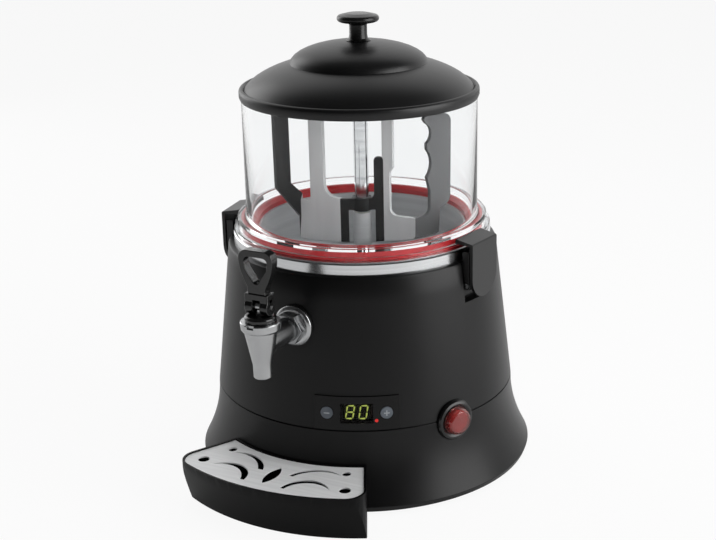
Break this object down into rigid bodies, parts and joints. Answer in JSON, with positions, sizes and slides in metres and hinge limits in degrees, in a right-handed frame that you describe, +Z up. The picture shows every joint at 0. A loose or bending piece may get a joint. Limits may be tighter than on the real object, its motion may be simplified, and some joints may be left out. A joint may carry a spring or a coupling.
{
  "type": "hot chocolate dispenser machine",
  "caption": "Counter-top hot drink dispenser with a clear lidded jar over a heated steel bowl, slow stirrer, lever tap, display panel and slide-out drip tray.",
  "frame": {"origin": "on the jar's axis, at the surface the rubber feet stand on", "axes": "+Z up along the jar's axis, -Y towards the user: the tap and the drip tray are on the -Y side, +X to the user's right"},
  "size_m": [0.304, 0.353, 0.4027],
  "materials": {
    "black_shell": "satin black moulding",
    "gloss_black": "gloss black moulding",
    "black_plastic": "black engineering plastic",
    "white_plastic": "natural plastic",
    "grey_button": "satin grey",
    "bright_steel": "polished stainless steel",
    "plain_steel": "plated sheet steel",
    "cast_housing": "die-cast",
    "black_rubber": "matt black rubber",
    "red_rubber": "red silicone",
    "clear_jar": "clear plastic",
    "clear_cap": "clear soft cover",
    "dark_window": "dark tinted window",
    "green_board": "circuit board",
    "red_lens": "red translucent plastic"
  },
  "bodies": {
    "machine": {"upper_shell": "black_shell", "base_shell": "black_shell", "base_plate": "plain_steel", "rubber_feet": "black_rubber", "base_screws": "plain_steel", "water_pan": "bright_steel", "pan_grommet": "black_rubber", "product_bowl": "bright_steel", "column_bush": "white_plastic", "jar_gasket": "red_rubber", "jar": "clear_jar", "heating_element": "plain_steel", "bowl_probe": "plain_steel", "safety_thermostat": "white_plastic", "motor_bracket": "plain_steel", "gearbox": "cast_housing", "motor_can": "plain_steel", "motor_screws": "plain_steel", "panel_frame": "gloss_black", "display_window": "dark_window", "display_module": "black_plastic", "control_board": "green_board", "status_led": "red_lens", "switch_bezel": "gloss_black", "switch_body": "black_plastic", "switch_cap": "clear_cap", "tap_body": "bright_steel", "tap_escutcheon": "bright_steel", "tap_seal": "black_rubber", "tap_nut": "bright_steel", "tap_lock_nut": "plain_steel", "tap_bonnet": "black_plastic", "latch_bracket_left": "black_plastic", "latch_pin_left": "bright_steel", "latch_bracket_right": "black_plastic", "latch_pin_right": "bright_steel", "cable_gland": "black_plastic"},
    "stirrer": {"drive_shaft": "bright_steel", "stirrer": "black_plastic", "shaft_tube": "bright_steel", "tube_cap": "black_plastic"},
    "lid": {"lid": "gloss_black", "lid_knob": "gloss_black", "lid_screw": "plain_steel"},
    "tap_stem": {"tap_stem": "bright_steel", "tap_seat_cup": "white_plastic", "tap_pin": "bright_steel"},
    "tap_handle": {"tap_handle": "gloss_black"},
    "latch_left": {"latch_left": "black_plastic"},
    "latch_right": {"latch_right": "black_plastic"},
    "button_down": {"button_down": "grey_button"},
    "button_up": {"button_up": "grey_button"},
    "switch_rocker": {"switch_rocker": "red_lens"},
    "drip_tray": {"drip_tray": "black_shell"},
    "drip_grille": {"drip_grille": "bright_steel"}
  },
  "joints": [
    {"name": "lid_lift", "type": "slide", "parent": "machine", "child": "lid", "axis": [0, 0, 1], "range_m": [0, 0.1]},
    {"name": "stirrer_spin", "type": "hinge", "parent": "machine", "child": "stirrer", "pos_m": [0, 0, 0.2], "axis": [0, 0, 1], "continuous": true},
    {"name": "tap_stem_lift", "type": "slide", "parent": "machine", "child": "tap_stem", "axis": [0, 0, 1], "range_m": [0, 0.005]},
    {"name": "tap_handle_tilt", "type": "hinge", "parent": "tap_stem", "child": "tap_handle", "pos_m": [0, -0.177, 0.1948], "axis": [1, 0, 0], "range_deg": [0, 40], "stiffness_Nm_per_rad": 0.2, "springref_deg": -17.19},
    {"name": "latch_left_tilt", "type": "hinge", "parent": "machine", "child": "latch_left", "pos_m": [-0.12115, -0.01811, 0.183], "axis": [0.1478, -0.989, 0], "range_deg": [0, 22]},
    {"name": "latch_right_tilt", "type": "hinge", "parent": "machine", "child": "latch_right", "pos_m": [0.12115, -0.01811, 0.183], "axis": [0.1478, 0.989, 0], "range_deg": [0, 22]},
    {"name": "button_down_press", "type": "slide", "parent": "machine", "child": "button_down", "axis": [-0.2351, 0.972, 0], "range_m": [0, 0.0008], "stiffness_N_per_m": 200, "springref_m": -0.0005},
    {"name": "button_up_press", "type": "slide", "parent": "machine", "child": "button_up", "axis": [-0.5764, 0.8171, 0], "range_m": [0, 0.0008], "stiffness_N_per_m": 200, "springref_m": -0.0005},
    {"name": "switch_rock", "type": "hinge", "parent": "machine", "child": "switch_rocker", "pos_m": [0.11947, -0.06352, 0.0705], "axis": [0.4695, 0.8829, 0], "range_deg": [-4, 4]},
    {"name": "tray_slide", "type": "slide", "parent": "machine", "child": "drip_tray", "axis": [0, -1, 0], "range_m": [0, 0.08]},
    {"name": "grille_lift", "type": "slide", "parent": "drip_tray", "child": "drip_grille", "axis": [0, 0, 1], "range_m": [0, 0.03]}
  ],
  "couplings": [
    {"joint": "tap_stem_lift", "follows": "tap_handle_tilt", "m_per_rad": 0.00716}
  ]
}
